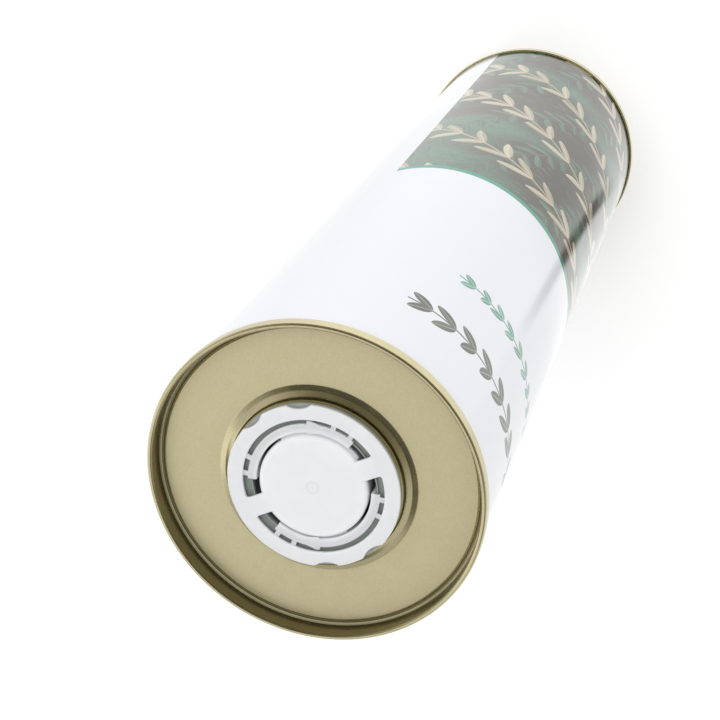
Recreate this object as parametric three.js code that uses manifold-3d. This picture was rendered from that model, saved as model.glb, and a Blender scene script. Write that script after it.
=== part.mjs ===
// Round olive oil tin with a low screw cap over a pull-up pouring spout.
// Millimetres, +Z up. The origin is the middle of the ring that the tin stands on.

import * as THREE from 'three';
import { mergeVertices } from 'three/addons/utils/BufferGeometryUtils.js';
import Module from 'manifold-3d';

const wasm = await Module();
wasm.setup();

// Tin: one rolled and welded sheet, and two ends folded over its flanges.
const tinHeight = 260;
const bodyRadius = 36.5;
const sheetThickness = 0.22;
const layerGap = 0.03;
const seamHeight = 3;
const endHookLength = 1.9;
const compoundHeight = 0.45;
const foldBend = 0.18;
const weldWidth = 0.8;
const weldProud = 0.08;
const weldEndGap = 1.2;
const weldTurnShare = 0.375;

// Both ends: the chuck wall inside the seam, the countersink at its foot and the flat panel.
const chuckRunIn = 0.6;
const countersinkDepth = 4.9;
const countersinkWidth = 0.75;
const countersinkBend = 0.3;
const panelDepth = 4.4;
const panelEdgeRun = 0.35;

// Top end: a raised shoulder round the neck, a groove, the neck wall and its outward curl.
const neckInnerRadius = 18;
const neckDrop = 2.15;
const curlDiameter = 1.2;
const curlTuck = 0.3;
const shoulderGap = 0.55;
const shoulderRise = 0.8;
const shoulderBend = 0.25;
const shoulderFootRun = 1.35;
const shoulderFootBend = 0.6;
const neckGrooveRise = 0.3;
const neckGrooveWidth = 0.85;

// Bottom end: a step pressed up into the panel stiffens it.
const bottomStepRadius = 27;
const bottomStepRun = 1.2;
const bottomStepRise = 0.8;

// Spout collar: plugs into the neck, carries the sleeve that guides the spout.
// The closure's radii follow inwards from the neck, down to the spout's bore.
const collarSeatGap = 0.05;
const flangeOverlap = 0.6;
const flangeThickness = 0.7;
const flangeEdgeBevel = 0.15;
const plugClearance = 0.15;
const plugWall = 1.2;
const plugBeadProud = 0.65;
const plugBeadGap = 0.2;
const plugBeadHeight = 0.9;
const plugTipHeight = 1.3;
const plugTipRun = 0.6;
const gasketDrop = 0.5;
const gasketHeight = 0.8;
const gasketWidth = 0.5;
const gasketProud = 0.1;
const gasketGap = 0.05;
const sleeveMoat = 1.25;
const sleeveWall = 1.1;
const sleeveLip = 0.65;
const sleeveLipHeight = 1;
const sleeveFootLip = 0.9;
const sleeveFootHeight = 1;

// Spout: a tube with a pouring lip, and a piston with a wiper ring that rides in the sleeve.
const spoutWall = 1.1;
const spoutLength = 22;
const spoutLipProud = 0.5;
const spoutLipHeight = 1.2;
const spoutLipBevel = 0.35;
const spoutRestGap = 0.05;
const pistonClearance = 0.2;
const pistonHeight = 2.6;
const pistonFillet = 0.8;
const wiperWidth = 0.6;
const wiperHeight = 0.9;
const wiperGap = 0.05;
const wiperClearance = 0.07;

// Cap: one moulding with a flat ring, two bridges, a round middle with the threaded skirt,
// and two tamper arcs that small tabs hold to the ring until the first opening.
const capGap = 0.1;
const capPlateThickness = 0.9;
const capOverhang = 0.3;
const capEdgeBend = 0.25;
const capMiddleBend = 0.9;
const capMiddleThickness = 1.2;
const capSkirtWall = 0.85;
const capSkirtClearance = 0.25;
const capSkirtLength = 8;
const gateMarkRadius = 1.5;
const gateMarkDepth = 0.12;
const gatePipRadius = 0.55;
const bridgeWidth = 4.6;
const bridgeFlare = 0.6;
const notchDepth = 1;
const notchToolRadius = 5.2;
const notchHalfAngle = 17.5;
const capTurn = -34.5;

const arcWidth = 1.9;
const arcHalfAngle = 64;
const arcPlateThickness = 0.45;
const arcLegThickness = 0.8;
const arcLegClearance = 0.25;
const arcLegDepth = 3.4;
const toothShoulderAngle = -21.5;
const toothFlatAngle = 3.5;
const toothRampAngle = 8;
const outerToothHeight = 0.7;
const outerToothClearance = 0.4;
const innerToothHeight = 0.45;
const innerToothClearance = 0.15;
const tabWidth = 1.1;
const tabThickness = 0.35;
const tabSink = 0.15;
const tabAngleShares = [-0.9266, -0.6875, 0.6875, 0.9266];

const linerClearance = 0.2;
const linerThickness = 0.9;
const linerGap = 0.05;

// One overrun serves every cutting tool.
const cutOverrun = 1;

// Counts of flat facets. Nested layers of the tin share one count, so that their flats line up.
const aroundSegments = 36;
const capSegments = 60;
const bendSteps = 1;
const roundSteps = 2;
const slotSteps = 10;

// How near the middle of a flat lies to the axis, as a share of its corners' radius.
const facetShare = Math.cos(Math.PI / aroundSegments);

// Radii to the middle of each sheet in the double seam, from the inside out.
const layerStep = sheetThickness + layerGap;
const halfSheet = sheetThickness / 2;
const bodyMid = bodyRadius - halfSheet;
const chuckMid = bodyMid - layerStep;
const endHookMid = bodyMid + layerStep;
const bodyHookMid = endHookMid + layerStep;
const endWallMid = bodyHookMid + layerStep;
const crestBend = foldBend + layerStep;
const bodyFoldTop = tinHeight - halfSheet - layerStep;
const compoundBottom = tinHeight - seamHeight + sheetThickness + layerStep;
const compoundTop = compoundBottom + compoundHeight;
const bodyHookTip = compoundTop + layerGap;

// Heights of the closure's stack, upwards from the curl of the neck.
const curlTop = tinHeight - neckDrop;
const flangeBottom = curlTop + collarSeatGap;
const flangeTop = flangeBottom + flangeThickness;
const capBottom = flangeTop + capGap;
const capTop = capBottom + capPlateThickness;
const linerTop = capTop - capMiddleThickness - linerGap;
const linerBottom = linerTop - linerThickness;
const spoutTop = linerBottom - linerGap;
const spoutBottom = spoutTop - spoutLength;
const pistonTop = spoutBottom + pistonHeight;
const sleeveFootTop = spoutBottom - spoutRestGap;
const sleeveBottom = sleeveFootTop - sleeveFootHeight;
const lipBottom = flangeTop - sleeveLipHeight;

// Radii that follow from a neighbour and a clearance, inwards from the neck.
const plugRadius = neckInnerRadius - plugClearance;
const plugInnerRadius = plugRadius - plugWall;
const sleeveRadius = plugInnerRadius - sleeveMoat;
const sleeveBoreRadius = sleeveRadius - sleeveWall;
const sleeveLipRadius = sleeveBoreRadius - sleeveLip;
const arcLegRadius = sleeveLipRadius - arcLegClearance;
const arcInnerRadius = arcLegRadius - arcLegThickness;
const capMiddleRadius = arcInnerRadius - innerToothHeight - innerToothClearance;
const capMiddleFlatRadius = capMiddleRadius - capMiddleBend;
const capSkirtInnerRadius = capMiddleRadius - capSkirtWall;
const spoutLipRadius = capSkirtInnerRadius - capSkirtClearance;
const spoutRadius = spoutLipRadius - spoutLipProud;
const spoutBoreRadius = spoutRadius - spoutWall;

// Radii that lie outside those.
const arcOuterRadius = arcInnerRadius + arcWidth;
const slotOuterRadius = arcOuterRadius + outerToothHeight + outerToothClearance;
const flangeRadius = neckInnerRadius + flangeOverlap;
const capRadius = flangeRadius + capOverhang;
const gasketTop = flangeBottom - gasketDrop;
const gasketInnerRadius = plugRadius + gasketProud - gasketWidth;
const gasketSeatRadius = gasketInnerRadius - gasketGap;
const pistonRadius = sleeveBoreRadius - pistonClearance;
const wiperRadius = sleeveBoreRadius - wiperClearance;
const wiperInnerRadius = wiperRadius - wiperWidth;
const wiperSeatRadius = wiperInnerRadius - wiperGap;
const wiperBottom = spoutBottom + (pistonHeight - wiperHeight) / 2;

const finishes = {
  printedSheet: { color: 0xf1f3f8, roughness: 0.25, metalness: 0 },
  goldLacquer: { color: 0xb8ae86, roughness: 0.35, metalness: 0.6 },
  whitePlastic: { color: 0xe6e8ea, roughness: 0.4, metalness: 0 },
  greyPlastic: { color: 0xaab0ab, roughness: 0.5, metalness: 0 },
  seal: { color: 0x8d8f88, roughness: 0.8, metalness: 0 },
};

// A point of a section: distance from the tin's axis, and height.
function at(radius, height) {
  return new THREE.Vector2(radius, height);
}

// A point of a plan: distance from the axis, and angle in degrees from +X.
function polar(radius, degrees) {
  const angle = THREE.MathUtils.degToRad(degrees);
  return new THREE.Vector2(radius * Math.cos(angle), radius * Math.sin(angle));
}

// Points along a round stretch of a plan, both ends included.
function arcRun(radius, fromDegrees, toDegrees, steps) {
  const run = [];
  for (let i = 0; i <= steps; i += 1) {
    run.push(polar(radius, THREE.MathUtils.lerp(fromDegrees, toDegrees, i / steps)));
  }
  return run;
}

// The round bend that takes the place of one corner of a path.
function bendPoints(before, corner, after, radius, steps) {
  const back = before.clone().sub(corner).normalize();
  const ahead = after.clone().sub(corner).normalize();
  const half = Math.acos(THREE.MathUtils.clamp(back.dot(ahead), -1, 1)) / 2;
  const room = Math.min(before.distanceTo(corner), after.distanceTo(corner)) / 2;
  const reach = Math.min(radius / Math.tan(half), room);
  const bend = reach * Math.tan(half);
  const centre = back.clone().add(ahead).normalize().multiplyScalar(bend / Math.sin(half)).add(corner);
  const start = corner.clone().addScaledVector(back, reach).sub(centre);
  const sweep = Math.PI - 2 * half;
  const turn = Math.sign(ahead.cross(back)) * sweep;
  const points = [];
  for (let i = 0; i <= steps; i += 1) {
    points.push(start.clone().rotateAround(new THREE.Vector2(), (turn * i) / steps).add(centre));
  }
  return points;
}

// A path with its corners rounded: corners is a list of [point, bend radius, steps of the bend].
function bentPath(first, corners, last) {
  const marks = [first, ...corners.map(([point]) => point), last];
  const path = [first];
  corners.forEach(([point, radius, steps = bendSteps], i) => {
    path.push(...(radius > 0 ? bendPoints(marks[i], point, marks[i + 2], radius, steps) : [point]));
  });
  path.push(last);
  return path.filter((point, i) => i === 0 || point.distanceTo(path[i - 1]) > halfSheet * sameShare);
}

// Points closer than this share of half a sheet are one point.
const sameShare = 0.01;

// The closed outline of a sheet of even thickness that follows a path through its middle.
function sheetOutline(path) {
  const one = [];
  const other = [];
  path.forEach((point, i) => {
    const into = point.clone().sub(path[Math.max(i - 1, 0)]).normalize();
    const out = path[Math.min(i + 1, path.length - 1)].clone().sub(point).normalize();
    const along = into.clone().add(out).normalize();
    const stretch = 1 / Math.max(along.dot(into), along.dot(out));
    const side = new THREE.Vector2(-along.y, along.x).multiplyScalar(halfSheet * stretch);
    one.push(point.clone().add(side));
    other.push(point.clone().sub(side));
  });
  return [...one, ...other.reverse()];
}

// Turns a closed section round the tin's axis; a section on the axis stays open there.
function revolve(outline, segments = aroundSegments) {
  const points = THREE.ShapeUtils.area(outline) < 0 ? [...outline].reverse() : [...outline];
  if (points[0].x > 0 || points.at(-1).x > 0) {
    points.push(points[0].clone());
  }
  return new THREE.LatheGeometry(points, segments).rotateX(Math.PI / 2);
}

// A plan shape given thickness between two heights.
function plate(points, bottom, top) {
  const options = { depth: top - bottom, bevelEnabled: false };
  return new THREE.ExtrudeGeometry(new THREE.Shape(points), options).translate(0, 0, bottom);
}

// A closed mesh as a solid that can be joined and cut.
function toSolid(geometry) {
  const bare = new THREE.BufferGeometry();
  bare.setAttribute('position', geometry.getAttribute('position').clone());
  if (geometry.index) {
    bare.setIndex(geometry.index.clone());
  }
  const merged = mergeVertices(bare);
  const corners = merged.index.array;
  const triangles = [];
  for (let i = 0; i < corners.length; i += 3) {
    const [a, b, c] = [corners[i], corners[i + 1], corners[i + 2]];
    if (a !== b && b !== c && c !== a) {
      triangles.push(a, b, c);
    }
  }
  const mesh = new wasm.Mesh({
    numProp: 3,
    vertProperties: new Float32Array(merged.getAttribute('position').array),
    triVerts: new Uint32Array(triangles),
  });
  return new wasm.Manifold(mesh);
}

// A joined or cut solid as a mesh again.
function toGeometry(solid) {
  const { vertProperties, triVerts } = solid.getMesh();
  const geometry = new THREE.BufferGeometry();
  geometry.setAttribute('position', new THREE.BufferAttribute(new Float32Array(vertProperties), 3));
  geometry.setIndex(new THREE.BufferAttribute(new Uint32Array(triVerts), 1));
  geometry.computeVertexNormals();
  return geometry;
}

function piece(name, geometry, finish) {
  const mesh = new THREE.Mesh(geometry, new THREE.MeshStandardMaterial(finish));
  mesh.name = name;
  return mesh;
}

// Mirrors a section for the lower end of the tin.
function upsideDown(points) {
  return points.map((point) => at(point.x, tinHeight - point.y));
}

// The wall of the tin, bent out and down into the seam at both rims, with its welded lap.
function tinBody() {
  const folds = [bodyMid, bodyHookMid].map((radius) => [at(radius, bodyFoldTop), foldBend, roundSteps]);
  const lowFolds = folds.map(([point, ...bend]) => [at(point.x, tinHeight - point.y), ...bend]).reverse();
  const wall = bentPath(
    at(bodyHookMid, tinHeight - bodyHookTip),
    [...lowFolds, ...folds],
    at(bodyHookMid, bodyHookTip),
  );
  const lapLength = tinHeight - 2 * (seamHeight + weldEndGap);
  const lap = new THREE.BoxGeometry(sheetThickness, weldWidth, lapLength);
  lap.translate(bodyMid * facetShare + weldProud, 0, tinHeight / 2);
  lap.rotateZ(2 * Math.PI * weldTurnShare);
  const solid = toSolid(revolve(sheetOutline(wall))).add(toSolid(lap));
  return piece('tin_body', toGeometry(solid), finishes.printedSheet);
}

// The fold over the body's flange, the chuck wall and the countersink, which both ends share.
function endRim() {
  const crest = tinHeight - halfSheet;
  const foot = tinHeight - seamHeight + halfSheet;
  const countersinkFloor = tinHeight - countersinkDepth + halfSheet;
  const countersinkOuter = chuckMid - chuckRunIn;
  const countersinkInner = countersinkOuter - countersinkWidth;
  const panel = tinHeight - panelDepth - halfSheet;
  return {
    tip: at(endHookMid, tinHeight - seamHeight + endHookLength),
    corners: [
      [at(endHookMid, foot), 0],
      [at(endWallMid, foot), layerStep],
      [at(endWallMid, crest), crestBend, roundSteps],
      [at(chuckMid, crest), crestBend, roundSteps],
      [at(countersinkOuter, countersinkFloor), countersinkBend],
      [at(countersinkInner, countersinkFloor), countersinkBend],
      [at(countersinkInner - panelEdgeRun, panel), 0],
    ],
    panel,
  };
}

// The top end: its panel rises to a shoulder, dips into a groove and turns up into the curled neck.
function topEnd() {
  const rim = endRim();
  const neckMid = neckInnerRadius + halfSheet;
  const curlMid = neckMid + curlDiameter - sheetThickness;
  const curlTopMid = curlTop - halfSheet;
  const curlFootMid = curlTop - curlDiameter + halfSheet;
  const curlBend = (curlMid - neckMid) / 2;
  const grooveMid = rim.panel + neckGrooveRise;
  const shoulderRadius = neckInnerRadius + curlDiameter + shoulderGap;
  const neck = [
    [at(shoulderRadius + shoulderFootRun, rim.panel), shoulderFootBend],
    [at(shoulderRadius, rim.panel + shoulderRise), shoulderBend],
    [at(neckMid + neckGrooveWidth, grooveMid), 0],
    [at(neckMid, grooveMid), 0],
    [at(neckMid, curlTopMid), curlBend],
    [at(curlMid, curlTopMid), curlBend],
    [at(curlMid, curlFootMid), curlBend],
  ];
  const curlEnd = at(neckMid + curlBend - curlTuck, curlFootMid);
  const path = bentPath(rim.tip, [...rim.corners, ...neck], curlEnd);
  return piece('top_end', revolve(sheetOutline(path)), finishes.goldLacquer);
}

// The bottom end, closed in the middle, with a step pressed up into it.
function bottomEnd() {
  const rim = endRim();
  const step = rim.panel - bottomStepRise;
  const middle = [
    [at(bottomStepRadius, rim.panel), 0],
    [at(bottomStepRadius - bottomStepRun, step), 0],
  ];
  const path = bentPath(rim.tip, [...rim.corners, ...middle], at(0, step));
  const outline = upsideDown(sheetOutline(path));
  const onAxis = outline.findIndex((point, i) => i > 0 && point.x === 0 && outline[i - 1].x === 0);
  const open = [...outline.slice(onAxis), ...outline.slice(0, onAxis)];
  return piece('bottom_end', revolve(open), finishes.goldLacquer);
}

// The sealing compound below the body's flange in a double seam.
function seamCompound(name, flip) {
  const section = [
    at(bodyHookMid - halfSheet, compoundBottom),
    at(bodyHookMid + halfSheet, compoundBottom),
    at(bodyHookMid + halfSheet, compoundTop),
    at(bodyHookMid - halfSheet, compoundTop),
  ];
  return piece(name, revolve(flip ? upsideDown(section) : section), finishes.seal);
}

// The collar: flange on the curl, plug with gasket groove and snap bead, and the spout's sleeve.
function spoutCollar() {
  const beadRadius = plugRadius + plugBeadProud;
  const beadTop = tinHeight - panelDepth + neckGrooveRise - sheetThickness - plugBeadGap;
  const beadBottom = beadTop - plugBeadHeight;
  const plugBottom = beadBottom - plugTipHeight;
  const gasketFoot = gasketTop - gasketHeight - gasketGap;
  const section = [
    at(sleeveBoreRadius - sleeveFootLip, sleeveBottom),
    at(sleeveRadius, sleeveBottom),
    at(sleeveRadius, flangeBottom),
    at(plugInnerRadius, flangeBottom),
    at(plugInnerRadius, plugBottom),
    at(plugRadius - plugTipRun, plugBottom),
    at(beadRadius, beadBottom),
    at(beadRadius, beadTop),
    at(plugRadius, beadTop),
    at(plugRadius, gasketFoot),
    at(gasketSeatRadius, gasketFoot),
    at(gasketSeatRadius, gasketTop + gasketGap),
    at(plugRadius, gasketTop + gasketGap),
    at(plugRadius, flangeBottom),
    at(flangeRadius, flangeBottom),
    at(flangeRadius, flangeTop - flangeEdgeBevel),
    at(flangeRadius - flangeEdgeBevel, flangeTop),
    at(sleeveLipRadius, flangeTop),
    at(sleeveLipRadius, lipBottom),
    at(sleeveBoreRadius, lipBottom),
    at(sleeveBoreRadius, sleeveFootTop),
    at(sleeveBoreRadius - sleeveFootLip, sleeveFootTop),
  ];
  return piece('spout_collar', revolve(section), finishes.greyPlastic);
}

// A seal ring with a lip half way up its outer side.
function sealRing(name, innerRadius, outerRadius, bottom, top) {
  const foot = THREE.MathUtils.lerp(innerRadius, outerRadius, sealFootShare);
  const section = [
    at(innerRadius, bottom),
    at(foot, bottom),
    at(outerRadius, (bottom + top) / 2),
    at(foot, top),
    at(innerRadius, top),
  ];
  return piece(name, revolve(section), finishes.seal);
}

// How far a seal ring's flat sides reach towards its lip.
const sealFootShare = 0.7;

// The pull-up spout: pouring lip, straight tube and the piston that stops under the sleeve's lip.
function spout() {
  const lipFoot = spoutTop - spoutLipHeight;
  const wiperTop = wiperBottom + wiperHeight;
  const section = [
    at(spoutBoreRadius, spoutBottom),
    at(pistonRadius, spoutBottom),
    at(pistonRadius, wiperBottom - wiperGap),
    at(wiperSeatRadius, wiperBottom - wiperGap),
    at(wiperSeatRadius, wiperTop + wiperGap),
    at(pistonRadius, wiperTop + wiperGap),
    at(pistonRadius, pistonTop),
    at(spoutRadius + pistonFillet, pistonTop),
    at(spoutRadius, pistonTop + pistonFillet),
    at(spoutRadius, lipFoot - spoutLipProud),
    at(spoutLipRadius, lipFoot),
    at(spoutLipRadius, spoutTop - spoutLipBevel),
    at(spoutLipRadius - spoutLipBevel, spoutTop),
    at(spoutBoreRadius + spoutLipBevel, spoutTop),
    at(spoutBoreRadius, spoutTop - spoutLipBevel),
  ];
  return piece('spout', revolve(section), finishes.whitePlastic);
}

// The flat plate of the cap, with its rounded rim and the gate mark in the middle.
function capPlate() {
  const section = [
    at(0, capBottom),
    ...bentPath(
      at(capMiddleFlatRadius, capBottom),
      [[at(capRadius, capBottom), 0], [at(capRadius, capTop), capEdgeBend, roundSteps]],
      at(gateMarkRadius, capTop),
    ),
    at(gatePipRadius, capTop - gateMarkDepth),
    at(0, capTop),
  ];
  return toSolid(revolve(section, capSegments));
}

// The cap's middle: a cup, open below, whose skirt takes the spout's thread.
function capCup() {
  const skirtBottom = capTop - capSkirtLength;
  const ceiling = capTop - capMiddleThickness;
  const section = [
    at(0, ceiling),
    at(capSkirtInnerRadius, ceiling),
    at(capSkirtInnerRadius, skirtBottom),
    ...bentPath(
      at(capMiddleRadius, skirtBottom),
      [[at(capMiddleRadius, capTop), capMiddleBend, roundSteps]],
      at(gateMarkRadius, capTop),
    ),
    at(gatePipRadius, capTop - gateMarkDepth),
    at(0, capTop),
  ];
  return toSolid(revolve(section, capSegments));
}

// The two slots round the cap's middle: a ring less the straight, flared bridges across it.
function capSlots() {
  const low = capBottom - cutOverrun;
  const high = capTop + cutOverrun;
  const ring = [
    at(capMiddleFlatRadius, low),
    at(slotOuterRadius, low),
    at(slotOuterRadius, high),
    at(capMiddleFlatRadius, high),
  ];
  const half = bridgeWidth / 2;
  const waist = slotOuterRadius - bridgeFlare;
  const side = [at(half, 0), at(half, waist), at(half + bridgeFlare * flareShare, waist + bridgeFlare / 2)];
  const corner = at(half + bridgeFlare, slotOuterRadius + cutOverrun);
  const right = [...side, corner];
  const left = right.map((point) => at(-point.x, point.y)).reverse();
  const quarter = [...right, ...left];
  let slots = toSolid(revolve(ring, capSegments));
  for (const turn of [0, Math.PI]) {
    const bridge = plate(quarter, low - cutOverrun, high + cutOverrun).rotateZ(turn);
    slots = slots.subtract(toSolid(bridge));
  }
  return slots;
}

// How far a bridge's flare has opened half way along it, as a share of the flare.
const flareShare = 0.3;

// The plan of a tamper arc, with a one-way tooth on each side at the same place.
function arcPlan() {
  const shoulder = toothShoulderAngle;
  const flat = shoulder - toothFlatAngle;
  const ramp = flat - toothRampAngle;
  return [
    ...arcRun(arcOuterRadius, -arcHalfAngle, ramp, slotSteps / 2),
    polar(arcOuterRadius + outerToothHeight, flat),
    polar(arcOuterRadius + outerToothHeight, shoulder),
    ...arcRun(arcOuterRadius, shoulder, arcHalfAngle, slotSteps),
    ...arcRun(arcInnerRadius, arcHalfAngle, shoulder, slotSteps),
    polar(arcInnerRadius - innerToothHeight, shoulder),
    polar(arcInnerRadius - innerToothHeight, flat),
    ...arcRun(arcInnerRadius, ramp, -arcHalfAngle, slotSteps / 2),
  ];
}

// One tamper arc: a toothed plate, a leg that reaches down beside the sleeve's lip, and four tabs.
function tamperArc() {
  const top = capBottom + arcPlateThickness;
  const leg = [
    ...arcRun(arcLegRadius, -arcHalfAngle, arcHalfAngle, slotSteps),
    ...arcRun(arcInnerRadius, arcHalfAngle, -arcHalfAngle, slotSteps),
  ];
  let arc = toSolid(plate(arcPlan(), capBottom, top));
  arc = arc.add(toSolid(plate(leg, capBottom - arcLegDepth, top)));
  const tabLength = slotOuterRadius - arcOuterRadius + 2 * tabSink;
  for (const share of tabAngleShares) {
    const tab = new THREE.BoxGeometry(tabLength, tabWidth, tabThickness);
    tab.translate(arcOuterRadius - tabSink + tabLength / 2, 0, top - tabThickness / 2);
    arc = arc.add(toSolid(tab.rotateZ(THREE.MathUtils.degToRad(share * arcHalfAngle))));
  }
  return arc;
}

// The whole cap moulding. Its two halves are alike, half a turn apart.
function cap() {
  let moulding = capPlate().subtract(capSlots()).add(capCup());
  const notchTool = new THREE.CylinderGeometry(
    notchToolRadius,
    notchToolRadius,
    capPlateThickness + 2 * cutOverrun,
    capSegments,
  );
  notchTool.rotateX(Math.PI / 2);
  notchTool.translate(capRadius - notchDepth + notchToolRadius, 0, capBottom + capPlateThickness / 2);
  const arc = tamperArc();
  for (const half of [0, 180]) {
    moulding = moulding.add(arc.rotate([0, 0, half]));
    for (const side of [-notchHalfAngle, notchHalfAngle]) {
      const notch = notchTool.clone().rotateZ(THREE.MathUtils.degToRad(half + side));
      moulding = moulding.subtract(toSolid(notch));
    }
  }
  const geometry = toGeometry(moulding).rotateZ(THREE.MathUtils.degToRad(capTurn));
  return piece('cap', geometry, finishes.whitePlastic);
}

// The soft disc in the cap that closes the spout's lip.
function capLiner() {
  const radius = capSkirtInnerRadius - linerClearance;
  const section = [at(0, linerBottom), at(radius, linerBottom), at(radius, linerTop), at(0, linerTop)];
  return piece('cap_liner', revolve(section), finishes.seal);
}

const tin = new THREE.Group();
tin.add(
  tinBody(),
  topEnd(),
  bottomEnd(),
  seamCompound('top_seam_compound', false),
  seamCompound('bottom_seam_compound', true),
  spoutCollar(),
  sealRing('neck_gasket', gasketInnerRadius, plugRadius + gasketProud, gasketTop - gasketHeight, gasketTop),
  spout(),
  sealRing('spout_wiper', wiperInnerRadius, wiperRadius, wiperBottom, wiperBottom + wiperHeight),
  cap(),
  capLiner(),
);

export default tin;
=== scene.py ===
import math

import bmesh
import bpy
from mathutils import Matrix, Vector

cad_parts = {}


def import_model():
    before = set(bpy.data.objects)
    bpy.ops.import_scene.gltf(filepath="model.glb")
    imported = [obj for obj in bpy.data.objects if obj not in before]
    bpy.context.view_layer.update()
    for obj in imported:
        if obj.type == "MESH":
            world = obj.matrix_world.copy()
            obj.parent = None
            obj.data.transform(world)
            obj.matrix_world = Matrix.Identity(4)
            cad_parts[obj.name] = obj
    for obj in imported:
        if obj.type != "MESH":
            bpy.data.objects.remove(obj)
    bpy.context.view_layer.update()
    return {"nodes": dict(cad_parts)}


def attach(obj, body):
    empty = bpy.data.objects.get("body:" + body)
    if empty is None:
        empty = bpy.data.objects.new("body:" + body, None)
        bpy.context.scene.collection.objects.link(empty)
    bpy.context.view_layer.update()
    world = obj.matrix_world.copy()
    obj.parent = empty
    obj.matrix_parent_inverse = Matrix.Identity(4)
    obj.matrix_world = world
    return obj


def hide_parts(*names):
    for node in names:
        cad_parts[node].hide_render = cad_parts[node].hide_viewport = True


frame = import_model()
scene = bpy.context.scene

# Lengths are in millimetres until a mesh is made; MM turns them into metres.
MM = 0.001
WHITE = (1.0, 1.0, 1.0)

# The camera stands above the tin's mouth and looks down along its side.
CAMERA_PLACE = (0.0, -0.178339, 0.533067)
CAMERA_AXES = (
    (-0.8421745, 0.5388844, -0.0185934),
    (-0.4675992, -0.7470714, -0.4724779),
    (-0.2685016, -0.3892146, 0.8811463),
)
CAMERA_LENS = 77.549
CAMERA_SENSOR = 36.0
CAMERA_CLIP = 0.01

# Tin: wall, seams and both ends. The sizes are the frame's, but for rounder bends and a deeper countersink.
TIN_HEIGHT = 260.0
BODY_RADIUS = 36.5
SHEET = 0.22
LAYER_GAP = 0.03
SEAM_HEIGHT = 3.0
END_HOOK = 1.9
COMPOUND_HEIGHT = 0.45
FOLD_BEND = 0.18
CHUCK_RUN_IN = 0.12
COUNTERSINK_DEPTH = 5.2
COUNTERSINK_WIDTH = 1.0
COUNTERSINK_BEND = 0.5
PANEL_DEPTH = 4.4
PANEL_EDGE_RUN = 0.25
PANEL_EDGE_BEND = 0.45
WELD_AZIMUTH = 135.0
WELD_WIDTH = 0.8
WELD_PROUD = 0.08
WELD_END_GAP = 1.2

# Neck of the top end; the shoulder's foot is longer than the frame's.
NECK_RADIUS = 18.0
NECK_DROP = 2.15
CURL = 1.2
CURL_TUCK = 0.3
SHOULDER_GAP = 0.3
SHOULDER_RISE = 1.05
SHOULDER_BEND = 0.25
SHOULDER_STEP_RUN = 1.2
SHOULDER_STEP_RISE = 0.31
SHOULDER_STEP_BEND = 1.5
SHOULDER_FOOT_RUN = 2.45
SHOULDER_FOOT_BEND = 2.5
GROOVE_RISE = 0.3
GROOVE_WIDTH = 0.85
GROOVE_BEND = 0.2

# Step in the bottom end.
STEP_RADIUS = 27.0
STEP_RUN = 1.2
STEP_RISE = 0.8
STEP_BEND = 0.5

# Collar and its sleeve, inwards from the neck.
COLLAR_GAP = 0.05
FLANGE_RADIUS = 19.0
FLANGE_THICKNESS = 0.7
FLANGE_EDGE = 0.18
PLUG_RADIUS = 17.85
PLUG_INNER_RADIUS = 16.65
PLUG_BEAD_PROUD = 0.65
PLUG_BEAD_HEIGHT = 0.9
PLUG_BEAD_GAP = 0.2
PLUG_TIP_HEIGHT = 1.3
PLUG_TIP_RUN = 0.6
GASKET_DROP = 0.5
GASKET_HEIGHT = 0.8
GASKET_SEAT_RADIUS = 17.4
SEAT_GAP = 0.05
SLEEVE_RADIUS = 15.4
SLEEVE_BORE = 14.3
SLEEVE_LIP_RADIUS = 13.65
SLEEVE_LIP_HEIGHT = 1.0
TROUGH_INNER = 14.0
TROUGH_OUTER = 15.8
TROUGH_DEPTH = 0.7
WEB_THICKNESS = 1.3
SLEEVE_FOOT_RADIUS = 13.4
SLEEVE_FOOT_HEIGHT = 1.0

# Spout and its thread.
SPOUT_BORE = 9.3
SPOUT_RADIUS = 10.4
SPOUT_LIP_RADIUS = 10.9
SPOUT_LIP_HEIGHT = 1.2
SPOUT_LIP_FLARE = 0.5
SPOUT_LIP_BEND = 0.45
SPOUT_FOOT_BEND = 0.4
SPOUT_LENGTH = 22.0
PISTON_RADIUS = 14.1
PISTON_HEIGHT = 2.6
PISTON_FILLET = 0.8
WIPER_SEAT_RADIUS = 13.58
WIPER_HEIGHT = 0.9
THREAD_PITCH = 3.2
THREAD_TURNS = 1.9
THREAD_RADIUS = 10.95
THREAD_DROP = 3.1
THREAD_SINK = 0.12
THREAD_HALF_WIDTHS = (0.5, 0.45, 0.18)
THREAD_TURN_STEPS = 72
THREAD_TAPER_STEPS = 12

# Cap: plate, middle with its skirt, ledge and gate mark, slots, notches.
CAP_GAP = 0.1
CAP_PLATE = 0.9
CAP_RADIUS = 19.02
CAP_EDGE = 0.22
CAP_MIDDLE_RADIUS = 12.0
CAP_MIDDLE_BEND = 1.0
CAP_MIDDLE_THICKNESS = 1.2
CAP_SKIRT_RADIUS = 11.15
CAP_SKIRT_LENGTH = 8.0
CAP_TURN = -34.5
CUP_SINK = 0.002
GATE_MARK = (
    (6.0, 0.0), (2.2, 0.0), (1.9, 0.06), (1.6, 0.14), (1.35, 0.12), (1.1, 0.03),
    (0.8, 0.02), (0.62, 0.1), (0.45, 0.14), (0.25, 0.04), (0.0, 0.0),
)
LEDGE_RADIUS = 12.42
LEDGE_ROOT = 0.4
LEDGE_DROP = 1.05
LEDGE_HEIGHT = 1.2
LEDGE_SLOPE_OUT = 0.1
LEDGE_SLOPE_IN = 0.25
LEDGE_FIRST = -78.0
LEDGE_LAST = 9.0
SLOT_RADIUS = 15.6
SLOT_OVERLAP = 0.1
SLOT_CORNER_OUT = 0.05
SLOT_CORNER_RUN = 1.3
SLOT_CORNER_TURN = 4
BRIDGE_WIDTH = 4.6
BRIDGE_FILLET = 0.6
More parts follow.
